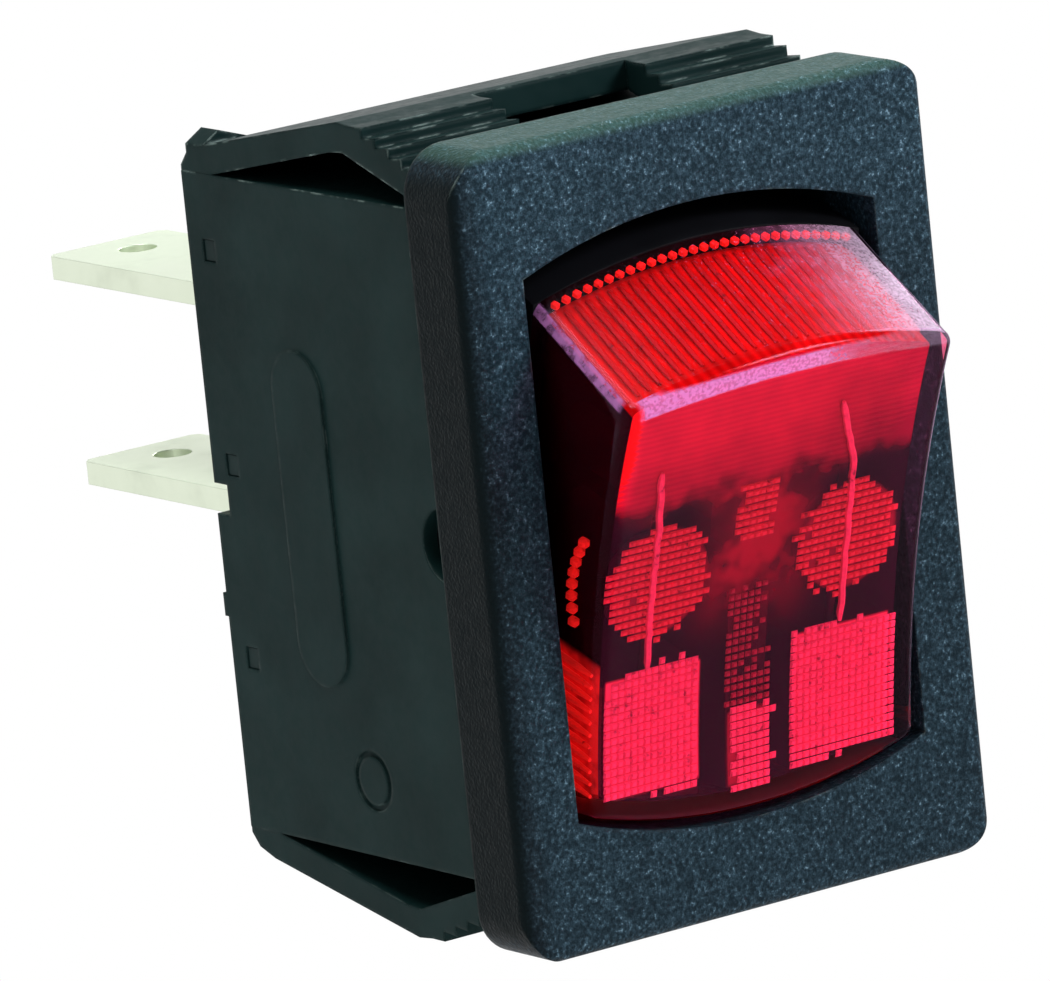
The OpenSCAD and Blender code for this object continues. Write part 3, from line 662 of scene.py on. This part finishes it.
def lens_side():
    """The inner side walls: painted shade, nearly black, down to the pads; beside its pad the left one
    has painted light and a painted glow.
    """
    material, tree, look = clear_red("red_lens_side")
    place = rocker_coordinates(tree)
    x, _, z = split(tree, place)
    cloud = noise(tree, place, 0.7 * MM, 2, 0.5)
    glow = product(tree, scaled(tree, z, -2.3 * MM, -2.6 * MM), scaled(tree, x, 1 * MM, -1 * MM),
                   scaled(tree, cloud, 0.3, 0.6, 0.5, 1))
    red = ramp(tree, glow, [(0, (0.016, 0.001, 0.004)), (1, (0.95, 0.05, 0.04))])
    # Painted shade over the clear wall, with the painted light beside the pad
    look = over(tree, look, 0.96, matt(tree, red))
    # Painted glow: a faint light given off though nothing here is a lamp
    painted_glow = tree.nodes.new("ShaderNodeEmission")
    painted_glow.inputs["Color"].default_value = (0.85, 0.04, 0.03, 1)
    return finish(material, tree, over(tree, look, product(tree, glow, 0.13), painted_glow.outputs[0]))


def relief_red(name, color, painted_glow=0.0):
    """Red relief: soft, uneven and a little pitted; the last argument is the strength of a painted glow
    that it gives off.
    """
    material, shader, tree = new_material(name, color, 0.4)
    shader.inputs["Specular IOR Level"].default_value = 0.1
    place = rocker_coordinates(tree)
    blot = noise(tree, place, 0.35 * MM, 2, 0.6)
    shades = [(0.27, times(color, 0.35)), (0.36, times(color, 0.85)), (0.6, color)]
    look = ramp(tree, blot, shades)
    tree.links.new(look, shader.inputs["Base Color"])
    # Painted glow: the relief gives off light though it is no lamp
    if painted_glow > 0:
        tree.links.new(look, shader.inputs["Emission Color"])
        shader.inputs["Emission Strength"].default_value = painted_glow
    return material


# ------------------------------------------------------------------ the lens

# Sizes of the lens in the rocker's frame, in millimetres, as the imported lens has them.
# Depths are measured forwards from the pivot, and insets inwards from the outer surface.
HALF_W = 6.6
BASE_DEPTH = 1.2
RIDGE_DEPTH = 6.8
RIDGE_Z = 7.27
FACE_DIP = 0.64
WALL = 0.6
END_R = 21.5
BASE_Z = 8.85
SLOPE = (BASE_Z - RIDGE_Z) / (RIDGE_DEPTH - BASE_DEPTH)
COS_SLOPE = 1 / sqrt(1 + SLOPE * SLOPE)
FACE_R = (RIDGE_Z ** 2 + FACE_DIP ** 2) / (2 * FACE_DIP)
RIDGE_ROUND = 0.48
CORNER_ROUND = 0.60
INNER_CORNER_ROUND = 0.20

ARC_STEPS = 72
CORNER_STEPS = 6
SIDE_STEPS = 48
WALL_STEPS = 20
ROUND_STEPS = 6
FACE_STEPS = 24
RIM_TRIES = 6
SHARP_ANGLE = radians(40)

# The lens's materials, by their place in its list
POLISHED, FROSTED, EDGE, INNER_FACE, INNER_END, INNER_SIDE = range(6)

# Ribs of the end walls, their bright ends, and the dots and combs of the left wall
RIB_PITCH = 0.42
RIBS_EACH_WAY = 14
RIB_START = 1.45
RIB_REACH = 4.2
RIB_STEPS = 8
RIB_INSET = 0.60
RIB_R = 0.11
RIB_END_DEPTH = 1.42
RIB_END_INSET = 0.20
RIB_END_R = 0.15
DOTS = 8
DOT_TOP = 1.65
DOT_DEPTH = 4.0
DOT_BEND = 0.16
DOT_INSET = 0.40
DOT_R = 0.19
COMBS = 11
COMB_TOP = -2.75
COMB_START = 2.6
COMB_SHORT = 0.8
COMB_STEPS = 4
COMB_INSET = 0.42
COMB_R = 0.12

# Square relief of the face; the tuples go by the kind of relief
# Painted light: the kinds are one relief painted at three levels of brightness, by how much light reaches
# each part
BRIGHT, MIDDLING, DIM = range(3)
WAFFLE_PITCH = 0.27
WAFFLE_ROWS = range(-30, 22)
WAFFLE_COLUMNS = range(-22, 23)
CELL_WIDTH = (0.94, 0.97, 0.8)
CELL_HEIGHT = (0.94, 0.76, 0.7)
CELL_MISSING = (0, 0.04, 0.14)
CELL_SUNK = 0.02
CELL_RISE = 0.07
CELL_TOP = 0.62
LOOSE = 0.14
DISC_X = (-3.9, 3.75)
DISC_Z = 0.2
DISC_R = 2.05

# Leads of the lamp where they show through the face, left and right
LEAD_FOOT = -2.85
LEAD_TOPS = (4.4, 5.5)
LEAD_STEPS = 27
LEAD_R = 0.12
LEAD_SUNK = 0.1
LEAD_WANDER = 0.035


def face_depth(z):
    """Depth of the hollow face at height z."""
    return RIDGE_DEPTH - FACE_DIP + FACE_R - sqrt(FACE_R ** 2 - z * z)


def end_height(x, depth, inset=0.0):
    """Height of the upper end wall at x and a depth, inset millimetres under its surface."""
    side = BASE_Z - (depth - BASE_DEPTH) * SLOPE
    rise = sqrt((END_R - inset) ** 2 - x * x) - sqrt(END_R ** 2 - HALF_W ** 2)
    return side + rise / COS_SLOPE


def quarter(depth, inset, corner):
    """Points (x, z, kind, inward way) from the top middle to the middle of the right side."""
    radius = END_R - inset
    reach = HALF_W - inset - corner
    turn = asin(reach / (radius - corner))
    points = []
    for i in range(ARC_STEPS // 2 + 1):
        angle = turn * i / (ARC_STEPS // 2)
        x = radius * sin(angle)
        points.append((x, end_height(x, depth, inset), "end", (-sin(angle), -cos(angle))))
    centre = points[-1][1] - corner * cos(turn)
    for i in range(1, CORNER_STEPS + 1):
        angle = turn + (pi / 2 - turn) * i / CORNER_STEPS
        points.append((reach + corner * sin(angle), centre + corner * cos(angle), "corner",
                       (-sin(angle), -cos(angle))))
    for i in range(1, SIDE_STEPS // 2 + 1):
        points.append((HALF_W - inset, centre * (1 - 2 * i / SIDE_STEPS), "side", (-1, 0)))
    return points


def loop(depth, inset, corner):
    """Closed loop round the lens, clockwise from the top middle."""
    part = quarter(depth, inset, corner)
    right = part + [(x, -z, k, (nx, -nz)) for x, z, k, (nx, nz) in reversed(part[:-1])]
    left = [(-x, z, k, (-nx, nz)) for x, z, k, (nx, nz) in reversed(right[1:-1])]
    return right + left


def lens_rings(inset, corner, rounding, back):
    """Rings of (x, depth, z, kind) from the base up the walls, round the ridge and over the face."""
    base, ahead = [loop(BASE_DEPTH + k, inset, corner) for k in (0, 1)]
    count = len(base)
    slide = [(far[0] - near[0], far[1] - near[1]) for near, far in zip(base, ahead)]

    def wall_point(i, depth):
        x, z, kind, way = base[i]
        rise = depth - BASE_DEPTH
        return x + slide[i][0] * rise, z + slide[i][1] * rise, kind, way

    # Where each line up the wall meets the rounding, found by trying again from the last depth
    rim = []
    for i in range(count):
        depth = RIDGE_DEPTH
        for _ in range(RIM_TRIES):
            depth = face_depth(wall_point(i, depth)[1]) - back - rounding
        rim.append(depth)
    rings = []
    for step in range(WALL_STEPS + 1):
        share = step / WALL_STEPS
        ring = []
        for i in range(count):
            depth = BASE_DEPTH + (rim[i] - BASE_DEPTH) * share
            x, z, kind, _ = wall_point(i, depth)
            ring.append((x, depth, z, kind))
        rings.append(ring)
    edge = [wall_point(i, rim[i]) for i in range(count)]
    for step in range(1, ROUND_STEPS + 1 if rounding > 0 else 0):
        angle = pi / 2 * step / ROUND_STEPS
        inward = rounding * (1 - cos(angle))
        ring = []
        for x, z, _, (nx, nz) in edge:
            px, pz = x + nx * inward, z + nz * inward
            ring.append((px, face_depth(pz) - back - rounding * (1 - sin(angle)), pz, "ridge"))
        rings.append(ring)
    rim_ring = rings[-1]
    for step in range(1, FACE_STEPS):
        share = 1 - step / FACE_STEPS
        rings.append([(x * share, face_depth(z * share) - back, z * share, "face")
                      for x, _, z, _ in rim_ring])
    return rings


def in_switch(x, depth, z):
    """A point of the rocker's own frame, in millimetres, put into the switch at rest."""
    return AT_REST @ Vector((x * MM, -depth * MM, z * MM))


def new_piece(name, verts, faces, materials, indices):
    """A mesh that rides on the rocker; indices name the material of each face."""
    mesh = bpy.data.meshes.new(name)
    mesh.from_pydata(verts, [], faces)
    for material in materials:
        mesh.materials.append(material)
    for polygon, index in zip(mesh.polygons, indices):
        polygon.material_index = index
        polygon.use_smooth = True
    mesh.update()
    mesh.set_sharp_from_angle(angle=SHARP_ANGLE)
    piece = bpy.data.objects.new(name, mesh)
    bpy.context.scene.collection.objects.link(piece)
    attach(piece, "rocker")
    return piece


def make_lens(materials):
    """The lens as one closed shell, made of an outer and an inner skin that meet at the base."""
    outer = lens_rings(0.0, CORNER_ROUND, RIDGE_ROUND, 0.0)
    inner = lens_rings(WALL, INNER_CORNER_ROUND, 0.0, WALL)
    verts, faces, indices = [], [], []
    count = len(outer[0])

    def add_shell(rings, flip, index_of):
        first = len(verts)
        for ring in rings:
            verts.extend(in_switch(x, d, z) for x, d, z, _ in ring)
        for r in range(len(rings) - 1):
            for i in range(count):
                j = (i + 1) % count
                a, b = first + r * count + i, first + r * count + j
                c, d = b + count, a + count
                faces.append((a, b, c, d) if flip else (a, d, c, b))
                indices.append(index_of(rings[r + 1][i], rings[r + 1][j]))
        verts.append(in_switch(0, face_depth(0) - (WALL if flip else 0), 0))
        tip = len(verts) - 1
        base = first + (len(rings) - 1) * count
        for i in range(count):
            j = (i + 1) % count
            faces.append((base + i, base + j, tip) if flip else (base + j, base + i, tip))
            indices.append(index_of((0, 0, 0, "face"), (0, 0, 0, "face")))
        return first

    def outer_index(p, q):
        kinds = {p[3], q[3]}
        if kinds <= {"end"}:
            return FROSTED
        return EDGE if "ridge" in kinds or "corner" in kinds else POLISHED

    def inner_index(p, q):
        kinds = {p[3], q[3]}
        if "face" in kinds:
            return INNER_FACE
        return INNER_END if kinds <= {"end", "corner"} else INNER_SIDE

    first_outer = add_shell(outer, False, outer_index)
    first_inner = add_shell(inner, True, inner_index)
    for i in range(count):
        j = (i + 1) % count
        faces.append((first_outer + i, first_outer + j, first_inner + j, first_inner + i))
        indices.append(POLISHED)
    lens = new_piece("lens", verts, faces, materials, indices)
    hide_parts("rocker_lens")


def tube(verts, faces, path, radius, sides=6):
    """A rod along a path of (x, depth, z) points, a little thinner at its two ends."""
    rings = []
    points = [Vector(p) for p in path]
    for k, point in enumerate(points):
        ahead = points[min(k + 1, len(points) - 1)]
        behind = points[max(k - 1, 0)]
        way = (ahead - behind).normalized()
        across = Vector((0, 0.3, 1)) if abs(way.x) > 0.5 else Vector((1, 0, 0))
        side = way.cross(across).normalized()
        other = way.cross(side)
        size = radius * (0.55 if k in (0, len(points) - 1) else 1)
        turns = [2 * pi * s / sides for s in range(sides)]
        rings.append([point + (side * cos(turn) + other * sin(turn)) * size for turn in turns])
    first = len(verts)
    for ring in rings:
        verts.extend(in_switch(*p) for p in ring)
    for r in range(len(rings) - 1):
        for s in range(sides):
            t = (s + 1) % sides
            a, b = first + r * sides + s, first + r * sides + t
            faces.append((a, b, b + sides, a + sides))
    faces.append(tuple(first + s for s in reversed(range(sides))))
    faces.append(tuple(first + (len(rings) - 1) * sides + s for s in range(sides)))


def bead(verts, faces, x, depth, z, radius):
    """A short round dot."""
    depths = (depth - radius, depth - radius / 2, depth + radius / 2, depth + radius)
    tube(verts, faces, [(x, d, z) for d in depths], radius)


def make_ribs(material, bright):
    """Ribs in the end walls, and in one brighter piece with a painted glow their ends and the left wall's
    dots and combs.
    """
    verts, faces = [], []
    bead_verts, bead_faces = [], []
    for end in (1, -1):
        for k in range(-RIBS_EACH_WAY, RIBS_EACH_WAY + 1):
            x = k * RIB_PITCH
            depths = [RIB_START + RIB_REACH * i / RIB_STEPS for i in range(RIB_STEPS + 1)]
            tube(verts, faces, [(x, d, end * end_height(x, d, RIB_INSET)) for d in depths], RIB_R)
            z = end * end_height(x, RIB_END_DEPTH, RIB_END_INSET)
            bead(bead_verts, bead_faces, x, RIB_END_DEPTH, z, RIB_END_R)
    for k in range(DOTS):
        z = DOT_TOP - k * RIB_PITCH
        bead(bead_verts, bead_faces, DOT_INSET - HALF_W, DOT_DEPTH + DOT_BEND * z * z, z, DOT_R)
    for k in range(COMBS):
        z = COMB_TOP - k * RIB_PITCH
        reach = face_depth(z) - COMB_SHORT - COMB_START
        depths = [COMB_START + reach * i / COMB_STEPS for i in range(COMB_STEPS + 1)]
        tube(bead_verts, bead_faces, [(COMB_INSET - HALF_W, d, z) for d in depths], COMB_R)
    new_piece("lens_ribs", verts, faces, [material], [0] * len(faces))
    new_piece("lens_rib_ends", bead_verts, bead_faces, [bright], [0] * len(bead_faces))


def lead_x(z):
    """Where the leads of the lamp are at height z, left and right."""
    left = -4.18 - 0.11 * max(0, z - 2.4)
    right = 3.70 - (0.05 * max(0, z - 0.6) if z < 3.2 else 0.13 + 0.37 * (z - 3.2))
    return left, right


def waffle_kind(x, z, loose):
    """The kind of relief at a place of the face, or None; loose frays the borders."""
    # Left pad, right pad and the foot between them
    if -5.85 < x < -1.95 and -7.0 - 0.1 * (x + 5.9) < z + loose < -2.75 - 1.1 * max(0, -4.9 - x):
        return BRIGHT
    if 1.8 < x < 5.95 and (-7.75 if x < 3.2 else -7.45) < z + loose < -3.0:
        return BRIGHT
    if -0.65 < x + loose < 1.0 and -8.0 < z + loose < -5.0:
        return BRIGHT
    # The discs, and the block between them and above
    for centre in DISC_X:
        if sqrt((x - centre) ** 2 + (z - DISC_Z) ** 2) + loose < DISC_R:
            return MIDDLING
    if -0.85 < x + loose < 0.6 and 1.0 < z < 3.1:
        return MIDDLING
    # The stem down to the foot, and a short row beside the left disc
    if -0.95 < x + loose < (0.55 if z > -3 else 0.95) and -4.95 < z < -0.7:
        return DIM
    if x < -5.7 and 0.3 < z < 0.9:
        return MIDDLING
    return None


def make_waffle(materials):
    """The fine square relief inside the lens's face, and the two leads that show across it."""
    chance = Random(5)
    verts, faces, indices = [], [], []

    def cell(x, z, width, height, kind):
        back = face_depth(z) - WALL + CELL_SUNK
        first = len(verts)
        for size, depth in ((1, back), (CELL_TOP, back + CELL_RISE)):
            for sx, sz in ((-1, -1), (1, -1), (1, 1), (-1, 1)):
                verts.append(in_switch(x + sx * width / 2 * size, depth, z + sz * height / 2 * size))
        faces.append((first + 4, first + 5, first + 6, first + 7))
        for i in range(4):
            j = (i + 1) % 4
            faces.append((first + i, first + j, first + 4 + j, first + 4 + i))
        indices.extend([kind] * 5)

    for row in WAFFLE_ROWS:
        z = row * WAFFLE_PITCH
        for column in WAFFLE_COLUMNS:
            x = column * WAFFLE_PITCH
            kind = waffle_kind(x, z, chance.uniform(-LOOSE, LOOSE))
            if kind is None or (kind != BRIGHT and chance.random() < CELL_MISSING[kind]):
                continue
            cell(x, z, WAFFLE_PITCH * CELL_WIDTH[kind], WAFFLE_PITCH * CELL_HEIGHT[kind], kind)
    for side, top in enumerate(LEAD_TOPS):
        path = []
        for k in range(LEAD_STEPS + 1):
            z = LEAD_FOOT + (top - LEAD_FOOT) * k / LEAD_STEPS
            x = lead_x(z)[side] + chance.uniform(-LEAD_WANDER, LEAD_WANDER)
            path.append((x, face_depth(z) - WALL + LEAD_SUNK, z))
        count = len(faces)
        tube(verts, faces, path, LEAD_R)
        indices.extend([BRIGHT] * (len(faces) - count))
    waffle = new_piece("lens_waffle", verts, faces, materials, indices)
    for polygon in waffle.data.polygons:
        polygon.use_smooth = False


# ------------------------------------------------------------------ springs

def make_spring(side, material):
    """The plunger's spring between the rocker and the plunger, copied from the imported one and shaded
    smooth.
    """
    node = "plunger_spring_" + side
    mesh = nodes[node].data.copy()
    mesh.materials.clear()
    mesh.materials.append(material)
    mesh.shade_smooth()
    spring = bpy.data.objects.new("coil_spring_" + side, mesh)
    bpy.context.scene.collection.objects.link(spring)
    points = [AT_REST.inverted() @ vertex.co for vertex in mesh.vertices]
    reach = [pick(point.y for point in points) for pick in (min, max)]
    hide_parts(node)
    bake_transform(spring)


# ------------------------------------------------------------------ making

make_camera()
make_world()
make_lamp("top", (-0.15, 0.05, 0.95), 0.6, 3.6, 0.3, (0.9, 1, 0.95))
make_lamp("front", (0.55, -0.66, 0.5), 0.7, 5.2, 0.22, (0.93, 0.97, 1))
make_lamp("rim", (0.8, 0.36, 0.48), 0.6, 2.4, 0.25)
make_floor()

dress("housing", housing_plastic())
dress("terminal_base", plain_plastic("base_plastic", (0.008, 0.018, 0.018), 0.45, 0.06))
dress("rocker_carrier", plain_plastic("carrier_plastic", (0.003, 0.003, 0.004), 0.5, 0.05))
dress("lamp_holder", holder_with_painted_light())
make_lens([lens_face(), lens_frosted(), lens_edge(), lens_front(), lens_end(), lens_side()])
# The rib ends, dots and combs are painted bright and given a painted glow, where the real ones catch the
# light
make_ribs(relief_red("red_rib", (0.43, 0.005, 0.005)),
          relief_red("red_rib_end", (1.0, 0.05, 0.03), 0.24))
# One red relief in three copies, lit, middling and shaded: painted light
make_waffle([relief_red("red_relief_bright", (1.0, 0.13, 0.28)),
             relief_red("red_relief", (0.78, 0.06, 0.10)),
             relief_red("red_relief_dim", (0.40, 0.03, 0.08))])
tin = tinned_brass()
for side in ("left", "right"):
    dress("terminal_line_" + side, tin)
    dress("terminal_load_" + side, tin)
silver = metal("contact_silver", (0.85, 0.85, 0.86), 0.3)
copper = metal("blade_copper", (0.78, 0.45, 0.28), 0.35)
steel = metal("spring_steel", (0.7, 0.7, 0.7), 0.3)
wire = metal("tinned_wire", (0.9, 0.88, 0.84), 0.4)
turned = metal("plunger_metal", (0.75, 0.74, 0.7), 0.3)
for side in ("left", "right"):
    dress("fixed_contact_" + side, silver)
    dress("moving_contact_" + side, silver)
    dress("contact_blade_" + side, copper)
    dress("plunger_" + side, turned)
    make_spring(side, steel)
    dress("lamp_lead_" + side, wire)
dress("lamp", plain_plastic("lamp_glass", (0.9, 0.8, 0.7), 0.2))
dress("resistor", plain_plastic("resistor_body", (0.72, 0.62, 0.46), 0.5))

bpy.context.scene.view_settings.view_transform = "Standard"
